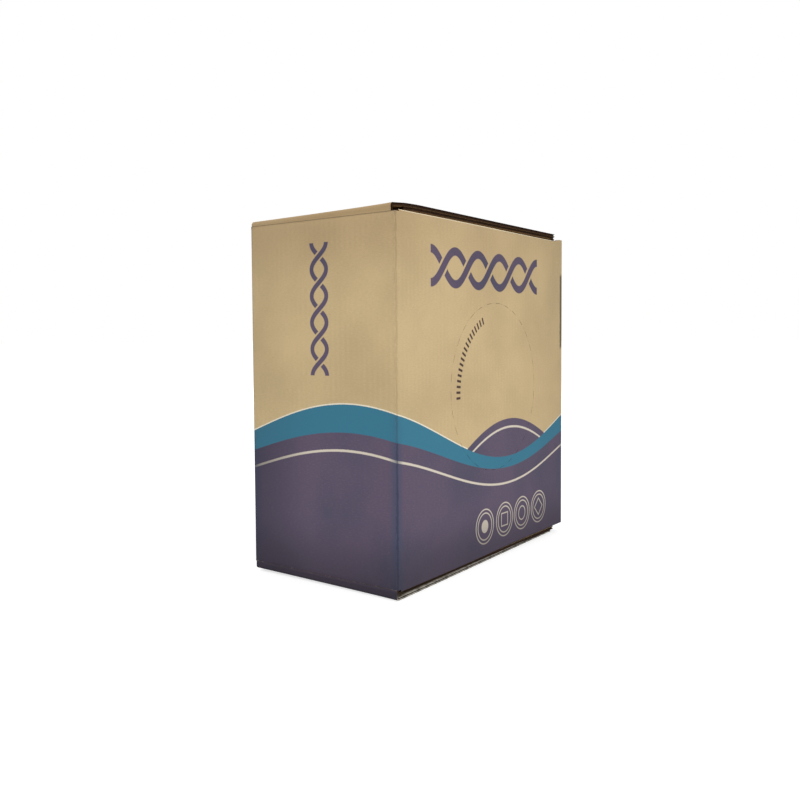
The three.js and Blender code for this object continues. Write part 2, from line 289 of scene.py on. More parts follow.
# Even steps with finer ones at both ends, where a fold or a crease needs them.
def gradedSteps(low, high, count):
    fine = np.array(board["fine"]) * mm
    even = np.linspace(low + board["fineReach"], high - board["fineReach"], count)
    return np.concatenate([low + fine, even, high - fine[::-1]])


# shader helpers
# A value on its way through a node tree: arithmetic with it adds a Math node to that tree.
class Flow:
    def __init__(self, tree, socket):
        self.tree, self.socket = tree, socket

    def __add__(self, other):
        return calc("ADD", self, other)

    def __sub__(self, other):
        return calc("SUBTRACT", self, other)

    def __rsub__(self, other):
        return calc("SUBTRACT", other, self)

    def __mul__(self, other):
        return calc("MULTIPLY", self, other)

    def __truediv__(self, other):
        return calc("DIVIDE", self, other)

    def __abs__(self):
        return calc("ABSOLUTE", self)


# A flow is linked to the socket, and anything else is set on it.
def connect(value, socket):
    if isinstance(value, Flow):
        value.tree.links.new(value.socket, socket)
    else:
        socket.default_value = value


# A new node with its inputs and settings; gives one of its outputs.
def addNode(tree, kind, inputs, output=0, **settings):
    made = tree.nodes.new(kind)
    for key, value in settings.items():
        setattr(made, key, value)
    for key, value in inputs.items():
        connect(value, made.inputs[key])
    return Flow(tree, made.outputs[output])


# One step of arithmetic.
def calc(operation, a, b=0.0, clamp=False):
    tree = (a if isinstance(a, Flow) else b).tree
    return addNode(tree, "ShaderNodeMath", {0: a, 1: b}, operation=operation, use_clamp=clamp)


# The larger of two values.
def larger(a, b):
    return calc("MAXIMUM", a, b)


# How far two sides reach, by the square root of their squares' sum.
def distance(a, b):
    return calc("SQRT", a * a + b * b)


# A vector's x, y and z.
def split(vector):
    made = vector.tree.nodes.new("ShaderNodeSeparateXYZ")
    connect(vector, made.inputs[0])
    return [Flow(vector.tree, socket) for socket in made.outputs]


# Noise of so many waves to the metre, one number or a pair for along and up the blank, with
# its detail and its roughness, and faded over a span where the look has one.
def noise(place, look):
    scale, detail, roughness, *span = look
    if isinstance(scale, tuple):
        place = addNode(place.tree, "ShaderNodeMapping", {"Vector": place, "Scale": (*scale, 1)})
        scale = 1.0
    inputs = {"Vector": place, "Scale": scale, "Detail": detail, "Roughness": roughness}
    value = addNode(place.tree, "ShaderNodeTexNoise", inputs)
    return fade(value, *span) if span else value


# From the first to the second value of "to" as the value goes from low to high, level at both.
def fade(value, low, high, to=(0.0, 1.0)):
    inputs = {"Value": value, 1: low, 2: high, 3: to[0], 4: to[1]}
    return addNode(value.tree, "ShaderNodeMapRange", inputs, interpolation_type="SMOOTHSTEP")


# The least where the mask is 0, and more by so much where it is 1.
def amount(mask, least, more):
    return mask * more + least


# 1 below the reach and 0 past it, over a soft edge.
def within(value, reach, soft):
    return fade(value, reach - soft, reach + soft, (1.0, 0.0))


# From the colour under to the colour over by the share.
def blend(share, under, over):
    inputs = {0: share, 6: under, 7: over}
    return addNode(share.tree, "ShaderNodeMix", inputs, output=2, data_type="RGBA")


# An empty node group, the sockets that it puts out and its inputs as flows.
def newGroup(name, inputs, outputs):
    group = bpy.data.node_groups.new(name, "ShaderNodeTree")
    for label, kind in inputs.items():
        group.interface.new_socket(label, in_out="INPUT", socket_type="NodeSocket" + kind)
    for label in outputs:
        group.interface.new_socket(label, in_out="OUTPUT", socket_type="NodeSocketFloat")
    source = group.nodes.new("NodeGroupInput")
    sink = group.nodes.new("NodeGroupOutput")
    return group, sink.inputs, *(Flow(group, source.outputs[label]) for label in inputs)


# Connects each value with the output of its name.
def giveOut(sockets, **values):
    for label, value in values.items():
        connect(value, sockets[label])


# A group placed in the tree of its inputs; gives its outputs by name.
def useGroup(group, **inputs):
    tree = inputs["Blank"].tree
    made = tree.nodes.new("ShaderNodeGroup")
    made.node_tree = group
    giveOut(made.inputs, **inputs)
    return {socket.name: Flow(tree, socket) for socket in made.outputs}


# A material that is one Principled shader; gives the sockets of that shader.
def newMaterial(name):
    material = bpy.data.materials.new(name)
    material.use_nodes = True
    tree = material.node_tree
    tree.nodes.clear()
    output = tree.nodes.new("ShaderNodeOutputMaterial")
    shader = tree.nodes.new("ShaderNodeBsdfPrincipled")
    tree.links.new(shader.outputs[0], output.inputs[0])
    return material, tree, shader.inputs


# The colour, roughness and bump of a shader; the bump is its strength and its depth.
def dress(shader, colour, roughness, height, bump, specular=0.5):
    inputs = {"Height": height, "Strength": bump[0], "Distance": bump[1]}
    connect(colour, shader["Base Color"])
    connect(roughness, shader["Roughness"])
    connect(addNode(colour.tree, "ShaderNodeBump", inputs), shader["Normal"])
    shader["Specular IOR Level"].default_value = specular


# The place on the flat blank.
def blankPlace(tree):
    return addNode(tree, "ShaderNodeUVMap", {}, uv_map="blank")


# The wear at a point.
def wearThere(tree):
    return addNode(tree, "ShaderNodeAttribute", {}, output="Fac", attribute_name="wearAndShade")


# colours of the paper, with painted shade in its gaps, creases, edges and flutes, and a painted
# highlight
paperAndShade = {
    "kraft": (197, 174, 132),
    "kraftRed": (184, 157, 120),
    "inside": (182, 156, 116),
    # the flutes and the liners' faces towards them, painted dark as the shade inside the board,
    # and the cut edges' brown, darkened by painted shade
    "fluted": (54, 35, 19),
    "cutEdgeAndShade": (76, 53, 33),
    "rubbedGrey": (188, 182, 170),
    # a painted highlight along the top dust flaps' folds
    "foldHighlight": (224, 209, 178),
    # the tone that the kraft darkens to towards the top
    "darkerTopTone": (150, 118, 84),
    # a crease's crushed line, with painted shade in it
    "creaseMarkAndShade": (56, 44, 38),
    # painted shade: in the gaps between the flaps, the second where the box stands; the first
    # also draws the painted fold line on bare kraft
    "pressed": (56, 36, 20),
    "standingGapShade": (42, 36, 31),
    # painted shade along the front's cut end beside the hand slot
    "slotShade": (112, 96, 66),
    "fleckDark": (140, 110, 74),
    "fleckPale": (222, 205, 172),
}

# colours of the print, and of painted shade on it
inkAndShade = {
    "teal": (53, 117, 141),
    "purple": (93, 82, 103),
    "purpleCool": (80, 75, 96),
    "purpleWarm": (97, 81, 103),
    # painted shade along the upright folds: a thin line and a wider cool darkening
    "foldLineShade": (36, 40, 60),
    "foldShade": (58, 74, 100),
    "cream": (212, 202, 186),
    "tick": (72, 54, 50),
    "scuff": (150, 141, 134),
    "edging": (234, 227, 206),
    # the purple's darker tone on the wide panels, and painted shade towards the foot
    "foot": (46, 39, 50),
    # painted shade where the light falls off towards the far ends
    "falloffShade": (44, 42, 60),
    # painted shade on the bottom dust flaps' downward arcs
    "crushed": (36, 29, 27),
}
shade = {name: srgb(*values) for name, values in {**paperAndShade, **inkAndShade}.items()}

# noises of the paper and the print: waves to the metre, detail, roughness and the span over
# which a noise fades from 0 to 1
noises = {
    "fibre": ((260, 900), 4.0, 0.6),
    "fine": ((900, 2600), 2.0, 0.6),
    "tone": (14.0, 4.0, 0.5),
    "drift": (4.0, 2.0, 0.5, 0.38, 0.66),
    "flutes": (22.0, 2.0, 0.55, 0.35, 0.70),
    "fleck": ((620, 1500), 1.0, 0.5, 0.70, 0.78),
    "dark": ((624, 1430), 1.0, 0.5, 0.72, 0.80),
    "printEdge": (900.0, 2.0, 0.6),
    "worn": (260.0, 4.0, 0.65),
    "slotShade": (170.0, 4.0, 0.6),
    "inkCloud": (9.0, 3.0, 0.5, 0.34, 0.60),
    "inkStreak": ((17, 9), 3.0, 0.5, 0.46, 0.70),
    "foldStroke": ((520, 130), 3.0, 0.65),
    "rubbed": (120.0, 3.0, 0.6, 0.32, 0.60, (0.35, 1.0)),
}

# The bands are plain waves round the carton: each height is its middle plus its swing times
# the cosine of the way round, in shares of the panel's height. The crest lies on the narrow
# panels.
bands = {
    "crest": 0.37,  # panel heights from the left panel's rear fold
    "top": (0.388, 0.100),
    "foot": (0.331, 0.079),
    "roof": (0.263, -0.145),
    "creamDrop": 0.050,
    "creamWidth": 0.0068,
    "roofCreamDrop": 0.027,
    "edging": 0.0034,  # a pale line over the upper wave
    "ragged": 0.0022,
    "soft": 0.0011,
}


# Fine fibres lie along the blank, with specks, clouds and the faint shadow of the flutes: the
# tone is a weighted sum of two fibre noises, a cloud and a sine of the way along the blank.
def kraftGrain():
    outputs = ("Tone", "Drift", "Fibre", "Fleck", "Dark", "Height")
    group, out, place = newGroup("kraftGrain", {"Blank": "Vector"}, outputs)
    fibre, fine = noise(place, noises["fibre"]), noise(place, noises["fine"])
    flute = calc("SINE", split(place)[0] * (fullTurn / board["flutePitch"]))
    flute = flute * noise(place, noises["flutes"])
    tone = fibre * 0.34 + fine * 0.20 + noise(place, noises["tone"]) * 0.46 + flute * 0.02
    giveOut(
        out,
        Tone=fade(tone, 0.30, 0.70),
        Drift=noise(place, noises["drift"]),
        Fibre=fibre,
        Fleck=noise(place, noises["fleck"]),
        Dark=noise(place, noises["dark"]),
        Height=fibre * 0.35 + fine + flute * 0.35,
    )
    return group


# Masks of the bands: a point is under a wave where the wave's height is above its own, and on
# a line where the two are close. The same waves run on over the two hidden panels.
def bandPrint():
    outputs = ("Teal", "Purple", "Cream", "Edging")
    group, out, place = newGroup("bandPrint", {"Blank": "Vector"}, outputs)
    across, level, _ = split(place)
    fromCrest = across - bands["crest"] * panelHeight
    turn = calc("COSINE", fromCrest * (fullTurn / halfBlank))
    ragged = noise(place, noises["printEdge"]) - 0.5
    height = ragged * bands["ragged"] + level / panelHeight
    soft = bands["soft"]
    top, foot, roof = (turn * bands[name][1] + bands[name][0] for name in ("top", "foot", "roof"))
    underTop, belowCreaseShade, underRoof = (fade(l - height, -soft, soft) for l in (top, foot, roof))

    def strip(line, width):
        return within(abs(line - height), width / 2, soft)

    hill = calc("SUBTRACT", underRoof, underTop, clamp=True)
    roofCream = strip(roof - bands["roofCreamDrop"], bands["creamWidth"]) * hill
    edging = strip(top + bands["edging"] / 2, bands["edging"])
    giveOut(
        out,
        Teal=calc("SUBTRACT", underTop, belowCreaseShade, clamp=True),
        Purple=larger(underTop, underRoof),
        Cream=larger(strip(foot - bands["creamDrop"], bands["creamWidth"]), roofCream),
        Edging=calc("SUBTRACT", edging, underRoof, clamp=True),
    )
    return group


# Plain marks, in shares of the panel's height: a drawn pair of twisted wires on two panels, a
# scale of ticks inside the knock-out and four ringed shapes at the foot.
marks = {
    "frontPair": {"middle": (0.484, 0.869), "length": 0.64, "swing": 0.047, "half": 0.0120,
                  "twists": 2.5, "upright": False},
    "sidePair": {"middle": (0.265, 0.750), "length": 0.37, "swing": 0.027, "half": 0.0072,
                 "twists": 2.5, "upright": True},
    "gap": 1.7,  # how far the wire below stops beside the one above, in half widths
    "crossing": 0.05,
    "tickArc": {"middle": (0.543, 0.500), "radius": 0.238, "from": 112, "to": 184,
                "half": 0.0036, "length": 0.022, "every": 4.0},
    "tickSoft": 0.1,  # degrees
    "rings": {"disc": (0.457, 0.086), "square": (0.581, 0.087), "ring": (0.698, 0.087),
              "diamond": (0.818, 0.088)},
    "ringRadius": 0.053,
    "ringHalf": 0.0019,
    "ringShares": {"second": 0.78, "disc": 0.38, "square": 0.38, "ring": 0.42, "diamond": 0.38},
    "soft": 0.0011,
}


# Two sines in opposite phase, each as far to the side as its slope makes it wide, and each in
# turn broken where the other passes over it.
def pairMask(x, y, mark):
    soft, half = marks["soft"], mark["half"]
    aside, along = x - mark["middle"][0], y - mark["middle"][1]
    if not mark["upright"]:
        aside, along = along, aside
    rate = fullTurn * mark["twists"] / mark["length"]
    angle = along * rate
    cosine, swing = calc("COSINE", angle), calc("SINE", angle) * mark["swing"]
    slope = cosine * (mark["swing"] * rate)
    steep = calc("SQRT", slope * slope + 1.0)
    offsets = [abs(offset) / steep for offset in (aside - swing, aside + swing)]
    strands = [within(offset, half, soft) for offset in offsets]
    haloes = [within(offset, half * marks["gap"], soft) for offset in offsets]
    firstOver = fade(cosine, -marks["crossing"], marks["crossing"])
    first = strands[0] * (1.0 - haloes[1] * (1.0 - firstOver))
    second = strands[1] * (1.0 - haloes[0] * firstOver)
    return larger(first, second) * within(abs(along), mark["length"] / 2, soft)


# Bars across a ring, one every few degrees between two angles: the angle's rest after the last
# bar, times the radius, is the distance from a bar.
def tickMask(x, y, mark):
    soft, angleSoft = marks["soft"], marks["tickSoft"]
    aside, up = x - mark["middle"][0], y - mark["middle"][1]
    radius = distance(aside, up)
    angle = calc("FLOORED_MODULO", calc("ARCTAN2", up, aside) * (180 / math.pi), 360.0)
    inside = within(abs(radius - mark["radius"]), mark["length"] / 2, soft)
    step = abs(calc("FRACT", angle / mark["every"]) - 0.5)
    bar = within(step * math.radians(mark["every"]) * radius, mark["half"], soft)
    window = (1.0 - within(angle, mark["from"], angleSoft)) * within(angle, mark["to"], angleSoft)
    return bar * inside * window


# Two rings round a plain shape. A line is where the distance is close to a share of the
# outer ring's radius; the square's distance is the larger side, the diamond's their sum.
def ringMask(x, y, middle, kind):
    soft, size, shares = marks["soft"], marks["ringRadius"], marks["ringShares"]
    aside, up = abs(x - middle[0]), abs(y - middle[1])
    radius = distance(aside, up)

    def line(reach, share):
        return within(abs(reach - size * share), marks["ringHalf"], soft)

    if kind == "disc":
        inner = within(radius, size * shares[kind], soft)
    elif kind == "square":
        inner = line(larger(aside, up), shares[kind])
    elif kind == "diamond":
        inner = line((aside + up) * math.sqrt(0.5), shares[kind])
    else:
        inner = line(radius, shares[kind])
    return larger(larger(line(radius, 1.0), line(radius, shares["second"])), inner)


# Masks of the marks, each from its distance to the front's or the left panel's first fold.
def markPrint():
    group, out, place = newGroup("markPrint", {"Blank": "Vector"}, ("Bold", "Tick", "Pale"))
    across, level, _ = split(place)
    y = level / panelHeight
    frontX = (across - (halfBlank + cartonDepth)) / panelHeight
    sideX = (across - halfBlank) / panelHeight
    bold = larger(pairMask(frontX, y, marks["frontPair"]), pairMask(sideX, y, marks["sidePair"]))
    pale = 0.0
    for kind, middle in marks["rings"].items():
        pale = larger(pale, ringMask(frontX, y, middle, kind))
    giveOut(out, Bold=bold, Tick=tickMask(frontX, y, marks["tickArc"]), Pale=pale)
    return group


# Rubbed places: the ink and the paper's skin are worn where wear is high and noise agrees.
def rubbed():
    group, out, place, wearAndShade = newGroup("rubbed", {"Blank": "Vector", "Wear": "Float"}, ["Mask"])
    giveOut(out, Mask=fade(wearAndShade * 0.55 + noise(place, noises["worn"]) * 0.8, 0.80, 0.98))
    return group


grainGroup, bandGroup, markGroup, rubGroup = kraftGrain(), bandPrint(), markPrint(), rubbed()

kraft = {
    "rise": (0.72, 1.0, (0.0, 0.6)),  # shares of the panel's height, and how much redder
    "fleckPale": 0.22,
    "fleckDark": 0.30,
}


# Kraft between a darker and a paler tone of its base, redder in clouds and towards the top.
def kraftColour(place, base, contrast, reddening):
    grain = useGroup(grainGroup, Blank=place)
    tones = [srgb(*(value * share for value in base)) for share in (1 - contrast, 1 + contrast)]
    rise = fade(split(place)[1] / panelHeight, *kraft["rise"])
    colour = blend(grain["Tone"], *tones)
    colour = blend((grain["Drift"] + rise) * reddening, colour, shade["kraftRed"])
    colour = blend(grain["Fleck"] * kraft["fleckPale"], colour, shade["fleckPale"])
    return blend(grain["Dark"] * kraft["fleckDark"], colour, shade["fleckDark"]), grain


# Painted shade along the front's cut end beside the hand slot, with a ragged edge.
slotShade = {"width": 5.6 * mm, "from": 220 * mm, "to": 310 * mm, "ragged": 3.0 * mm,
        "soft": (0.6 * mm, 3 * mm), "behind": (-9 * mm, -7 * mm)}


# A strip of painted shade along the cut end, its distance from it shaken by noise, between two
# heights.
def slotShadeMask(place):
    across, level, _ = split(place)
    end = halfBlank + cartonDepth + frontHigh.x - west
    rag = noise(place, noises["slotShade"]) - 0.5
    fromEnd = rag * slotShade["ragged"] + (end - across)
    softAcross, softUp = slotShade["soft"]
    strip = within(fromEnd, slotShade["width"], softAcross) * fade(fromEnd, *slotShade["behind"])
    above = 1.0 - within(level, slotShade["from"], softUp)
    return strip * above * within(level, slotShade["to"], softUp)


# How the board was handled and where shade is painted: between which values each grows, and to
# how much. The distances run down from the upper crease, along the blank, and away from a fold
# or an end. An amount is that on bare kraft and how much more it is on ink.
handlingAndShading = {
    # darker towards the top and at the upper crease, less so near a narrow panel's first fold and
    # further into the wide panels
    "darkTop": (62 * mm, 6 * mm, (0.0, 0.27)),
    "darkFold": (1 * mm, -3 * mm, (0.0, 0.26)),
    "darkSide": (20 * mm, 110 * mm, (0.6, 1.0)),
    "darkFront": (9.6 * mm, 89.6 * mm, (1.0, 0.25)),
    "foldShift": 0.4 * mm,  # a fold's arc is that much shorter than its corner
    # painted shade: light falling off towards the left panel's rear fold and the front's free end
    "rear": (90 * mm, 0.0),
    "rearAmount": (0.03, 0.56),
    "freeEnd": (85 * mm, 30 * mm, (0.0, 0.08)),
    # painted shade towards the foot, and below the narrow panels' bottom creases
    "foot": (60 * mm, 0.0, (0.0, 0.55)),
    "belowCreaseShade": (0.0, -3 * mm, (0.0, 0.65)),
    # painted shade along the upright folds: a wide cool darkening and a thin ragged line
    "halo": (12 * mm, 0.0, (0.0, 0.60)),
    "line": (2.4 * mm, 0.7 * mm),
    "lineAmount": (0.22, 0.36),
    "lineRagged": 5 * mm,
    # by wear: the crushed crease with painted shade in it, scuffs, painted shade on the bottom
    # dust flaps' arcs and a painted highlight on the top ones' folds
    "creaseMarkAndShade": (0.22, 0.66),  # these four by wear
    "creasedAmount": (0.10, 0.15),
    "scuffed": 0.5,
    "crushed": (1.4, 1.7),
    "foldHighlight": (-0.2, -0.8, (0.0, 0.85)),
}


# By its place on the blank: how far a point is from the nearest upright fold, whether it is on
# a narrow panel, the painted shade of light falling off towards that panel's first fold and
# towards the front's free end, and how much darker it is towards the top.
def darkeningMasks(across, level):
    turn = calc("FLOORED_MODULO", across, halfBlank)
    fromFold = turn - (cartonDepth + handlingAndShading["foldShift"])
    apart = calc("MINIMUM", calc("MINIMUM", turn, halfBlank - turn), abs(fromFold))
    narrow = calc("LESS_THAN", fromFold, 0.0)
    rear = fade(turn, *handlingAndShading["rear"])
    free = fade(2 * halfBlank - across, *handlingAndShading["freeEnd"])
    below = panelHeight - level
    high = fade(below, *handlingAndShading["darkTop"]) + fade(below, *handlingAndShading["darkFold"])
    high = high * fade(turn, *handlingAndShading["darkSide"]) * fade(fromFold, *handlingAndShading["darkFront"])
    return apart, narrow, rear, free, high


inking = {
    "streaked": 0.5,
    "wide": (0.06, -0.06),  # how much darker the purple is on the wide panels
    "crowns": (0.45, 0.8),
    "thinner": (1.0, -0.06),  # on the crowns
    "worn": 0.12,
    "tealHides": 0.75,
}


# The outside of the board: kraft with the print on it, thinner ink on the fibres' crowns, and
# over both the wear of handling, painted shade and a painted highlight, one blend after the
# other.
def printedKraft():
    material, tree, shader = newMaterial("printedKraft")
    place, wearAndShade = blankPlace(tree), wearThere(tree)
    colour, grain = kraftColour(place, paperAndShade["kraft"], 0.065, 0.20)
    band, mark = useGroup(bandGroup, Blank=place), useGroup(markGroup, Blank=place)
    worn = useGroup(rubGroup, Blank=place, Wear=wearAndShade)["Mask"]
    across, level, _ = split(place)
    apart, narrow, rear, free, high = darkeningMasks(across, level)
    colour = blend(high, colour, shade["darkerTopTone"])

    purple = blend(noise(place, noises["inkCloud"]), shade["purpleCool"], shade["purple"])
    streak = noise(place, noises["inkStreak"]) * inking["streaked"]
    purple = blend(streak, purple, shade["purpleWarm"])
    purple = blend(amount(narrow, *inking["wide"]), purple, shade["foot"])
    coverage = amount(fade(grain["Fibre"], *inking["crowns"]), *inking["thinner"])
    coverage = coverage * (1.0 - worn * inking["worn"])
    for mask, over in (
        (band["Purple"], purple),
        (band["Teal"], shade["teal"]),
        (band["Cream"], shade["cream"]),
        (band["Edging"], shade["edging"]),
        (mark["Bold"], purple),
        (mark["Tick"], shade["tick"]),
        (mark["Pale"], shade["cream"]),
    ):
        colour = blend(mask * coverage, colour, over)

    inked = larger(band["Purple"], band["Teal"])
    dulled = band["Teal"] * -inking["tealHides"] + inked
    creaseMarkAndShade = fade(wearAndShade, *handlingAndShading["creaseMarkAndShade"]) * amount(inked, *handlingAndShading["creasedAmount"])
    strokes = noise(place, noises["foldStroke"]) - 0.5
    line = fade(strokes * handlingAndShading["lineRagged"] + apart, *handlingAndShading["line"])
    line = line * amount(dulled, *handlingAndShading["lineAmount"])
    # painted shade along folds, towards the far ends and the foot, on the bottom folds and beside
    # the hand slot, a painted highlight on the top folds, and scuffs of wear
    for mask, over in (
        (creaseMarkAndShade, shade["creaseMarkAndShade"]),
        (fade(apart, *handlingAndShading["halo"]) * dulled, shade["foldShade"]),
        (line, blend(inked, shade["pressed"], shade["foldLineShade"])),
        (rear * amount(dulled, *handlingAndShading["rearAmount"]) + free, shade["falloffShade"]),
        (fade(level, *handlingAndShading["foot"]), shade["foot"]),
        (fade(level, *handlingAndShading["belowCreaseShade"]) * narrow, shade["foot"]),
        (worn * handlingAndShading["scuffed"], shade["scuff"]),
        (fade(wearAndShade, *handlingAndShading["crushed"]), shade["crushed"]),
        (fade(wearAndShade, *handlingAndShading["foldHighlight"]), shade["foldHighlight"]),
        (slotShadeMask(place), shade["slotShade"]),
    ):
        colour = blend(mask, colour, over)
    dress(shader, colour, inked * -0.14 + 0.86, grain["Height"], (0.35, 0.12 * mm), 0.28)
    return material


# The flap that the box stands on is rubbed grey along its sides, past its fold. Painted shade
# darkens the flaps beside their sides and folds, in the gaps between them, most where the box
# stands.
rub = {
    "half": 88 * mm,  # the flap's half width on the blank
    "reach": (3.0 * mm, 2.2 * mm),
    "cut": (2 * mm, 10 * mm),  # how far past the crease the rubbing of its cut sides starts
    "face": (17 * mm, 20 * mm),  # and that of the liner's face
    # the dark masks below are painted shade in the gaps between the flaps and where the box
    # stands
    "dark": (4 * mm, 2 * mm),  # from its side
    "darkMore": 5 * mm,  # at the bottom
    "darkPast": (1 * mm, 4 * mm),
    "besideFold": ((20 * mm, 12 * mm), (28 * mm, 21 * mm)),  # from its side, past its crease
    "onFlap": (-4 * mm, -3 * mm),
    "faceDark": (0.20, 0.65),  # at the top, and how much more at the bottom
    "footDark": (0.0, -2 * mm, (0.0, 0.8)),
    "wallPart": (0.45, 0.70),  # of the medium's wave
}


# Masks from the distance to the flap's sides and the distance past its crease: rubbed grey,
# painted shade, and whether the point is at the bottom.
def rubbedAndShadedFlap(place, span):
    across, level, _ = split(place)
    fromSide = rub["half"] - abs(across - (halfBlank + cartonDepth / 2))
    past = abs(level - panelHeight / 2) - panelHeight / 2
    atBottom = calc("LESS_THAN", level, 0.0)
    onFlap = fade(fromSide, *rub["onFlap"])
    grey = fade(fromSide, *rub["reach"]) * noise(place, noises["rubbed"])
    grey = grey * fade(past, *span) * atBottom
    sideReach, pastReach = rub["besideFold"]
    besideFold = fade(fromSide, *sideReach) * fade(past, *pastReach)
    dark = larger(fade(atBottom * -rub["darkMore"] + fromSide, *rub["dark"]), besideFold)
    return grey * onFlap, dark * fade(past, *rub["darkPast"]) * onFlap, atBottom


# Bare board, darkened by painted shade in the gaps between the flaps; edges is "cut", "face"
# or "flutes" where it shows at the rubbed flap's sides.
def plainKraft(name, base, contrast, bump, edges):
    material, tree, shader = newMaterial(name)
    place = blankPlace(tree)
    colour, grain = kraftColour(place, base, contrast, 0.0)
    grey, dark, atBottom = rubbedAndShadedFlap(place, rub["face" if edges == "face" else "cut"])
    if edges == "face":
        dark = dark * amount(atBottom, *rub["faceDark"])
    elif edges == "flutes":
        grey = grey * fade(abs(wearThere(tree)), *rub["wallPart"])
    else:
        # the cut edges below the bottom crease take painted shade where the box stands
        dark = larger(dark, fade(split(place)[1], *rub["footDark"]))
    # the darkening is painted shade in the gaps between the flaps
    colour = blend(dark, colour, blend(atBottom, shade["pressed"], shade["standingGapShade"]))
    colour = blend(grey, colour, shade["rubbedGrey"])
    dress(shader, colour, grain["Fibre"] * -0.08 + 0.97, grain["Height"], (bump, 0.15 * mm), 0.2)
    return material


boardMaterials = [
    printedKraft(),
    plainKraft("insideKraft", paperAndShade["inside"], 0.07, 0.4, "face"),
    # the cut edges and the flutes carry painted shade
    plainKraft("cutEdgeShadeKraft", paperAndShade["cutEdgeAndShade"], 0.18, 0.8, "cut"),
    plainKraft("flutedKraft", paperAndShade["fluted"], 0.08, 0.4, "flutes"),
]
print("paper materials ready")

# where each panel lies on the flat blank, from the glue joint round to the front's end, and
# how it stands: its first corner, the way along it and the way inwards
rightStart = south + thickness + 0.3 * mm
panels = {
    "right": {"blank": 0.0, "corner": (east, rightStart), "along": (0, 1, 0),
              "inward": (-1, 0, 0), "length": north - rightStart, "folds": (True, True)},
    "back": {"blank": cartonDepth, "corner": (east, north), "along": (-1, 0, 0),
             "inward": (0, -1, 0), "length": cartonWidth, "folds": (True, True)},
    "left": {"blank": halfBlank, "corner": (west, north), "along": (0, -1, 0),
             "inward": (1, 0, 0), "length": cartonDepth, "folds": (True, True)},
    "front": {"blank": halfBlank + cartonDepth, "corner": (west, south), "along": (1, 0, 0),
              "inward": (0, 1, 0), "length": frontHigh.x - west, "folds": (True, False)},
    "tab": {"blank": None, "corner": (tabLow.x, rightStart), "along": (1, 0, 0),
            "inward": (0, 1, 0), "length": tabHigh.x - tabLow.x, "folds": (False, True)},
}


# A wall is its path in plan and its place; one without a seed stays flat and unworn.
def makeWall(name, seed=None):
    panel = panels[name]
    path = wallPath(panel["length"], *panel["folds"])
    total = path["at"][-1]
    return {
        "path": path,
        "place": ((*panel["corner"], creaseLow), panel["along"], panel["inward"], (0, 0, 1)),
        "total": total,
        "blank": -total if panel["blank"] is None else panel["blank"],
        "narrow": total < cartonDepth * 1.2,
        "seed": seed,
    }


# The liners of a wall on a grid of s and w, with its dent, its wear and painted shade, and its
# place on the blank. Where a corner is lifted, the points go up and their place on the blank
# stays.
def wallLiners(wall, s, w, wrap=False, wearAndShade=None, lifted=None):
    blank = np.stack([wall["blank"] + s, w], -1)
    wearAndShade = panelWear(wall, s, w) if wearAndShade is None else wearAndShade
    lifted = w if lifted is None else lifted
    return liners(wall, s, lifted, panelDent(wall, s, w), blank, wearAndShade, wrap)


# The flutes of a wall stand upright: a sine of the way along it.
def wallFlutes(wall, s, w, wrap=False):
    wave = np.sin(fullTurn * s / board["flutePitch"])
    return medium(wall, s, w, wave, panelDent(wall, s, w), np.stack([s, w], -1), wrap)


# Flutes between two places along the wall and two heights.
def fluteStrip(wall, span, heights, rows):
    s, w = np.meshgrid(fluteSteps(*span), np.linspace(*heights, rows), indexing="ij")
    return wallFlutes(wall, s, w)


# What every piece of board says to the frame.
def finishBoard(piece, node, body):
    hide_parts(node)
    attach(piece, body)


# A wall without openings: a plain grid, folds at both ends.
def plainWall(name, seed):
    wall = makeWall(name, seed)
    total, trim = wall["total"], board["trim"]
    s, w = np.meshgrid(gradedSteps(0, total, 40), gradedSteps(0, panelHeight, 64), indexing="ij")
    flutes = fluteStrip(wall, (0, total), (trim, panelHeight - trim), 14)
    piece = buildPiece(name + "Wall", [*wallLiners(wall, s, w), flutes], boardMaterials)
    finishBoard(piece, name + "_panel", "carton")


plainWall("left", 1)
plainWall("back", 2)
print("left and back walls")

# the front wall and its knock-out
knockout = {
    "radius": (discHigh.x - discLow.x) / 2 + 0.3 * mm,
    "perSide": 84,
    "rows": 26,
    "rowSpread": 1.15,
    "around": 720,
    "cuts": 30,
    "cutShare": 0.5,
    "cutEnd": 0.06,
    "nickGap": 0.05 * mm,
    "cutGap": 0.34 * mm,
    "flutes": np.array([0, 4, 8]) * mm,  # beside the cut
    "strip": 14 * mm,  # width of the flutes along the panel's border
    "jointLift": 3.2 * mm,  # how far the panel's free upper corner stands above its crease
    "liftFrom": (26 * mm, 6 * mm),  # along the panel, from its free end
}


# The front wall, and the knock-out's middle on it. A fold's arc is shorter than its corner, so
# that everything past it moves by the difference.
def frontParts():
    wall = makeWall("front", 5)
    discS = (discLow.x + discHigh.x) / 2 - west + wall["total"] - panels["front"]["length"]
    return wall, np.array([discS, (discLow.z + discHigh.z) / 2 - creaseLow])


# Points round the knock-out's middle by radius and angle.
def roundPoints(middle, radius, angle):
    return middle[0] + radius * np.cos(angle), middle[1] + radius * np.sin(angle)


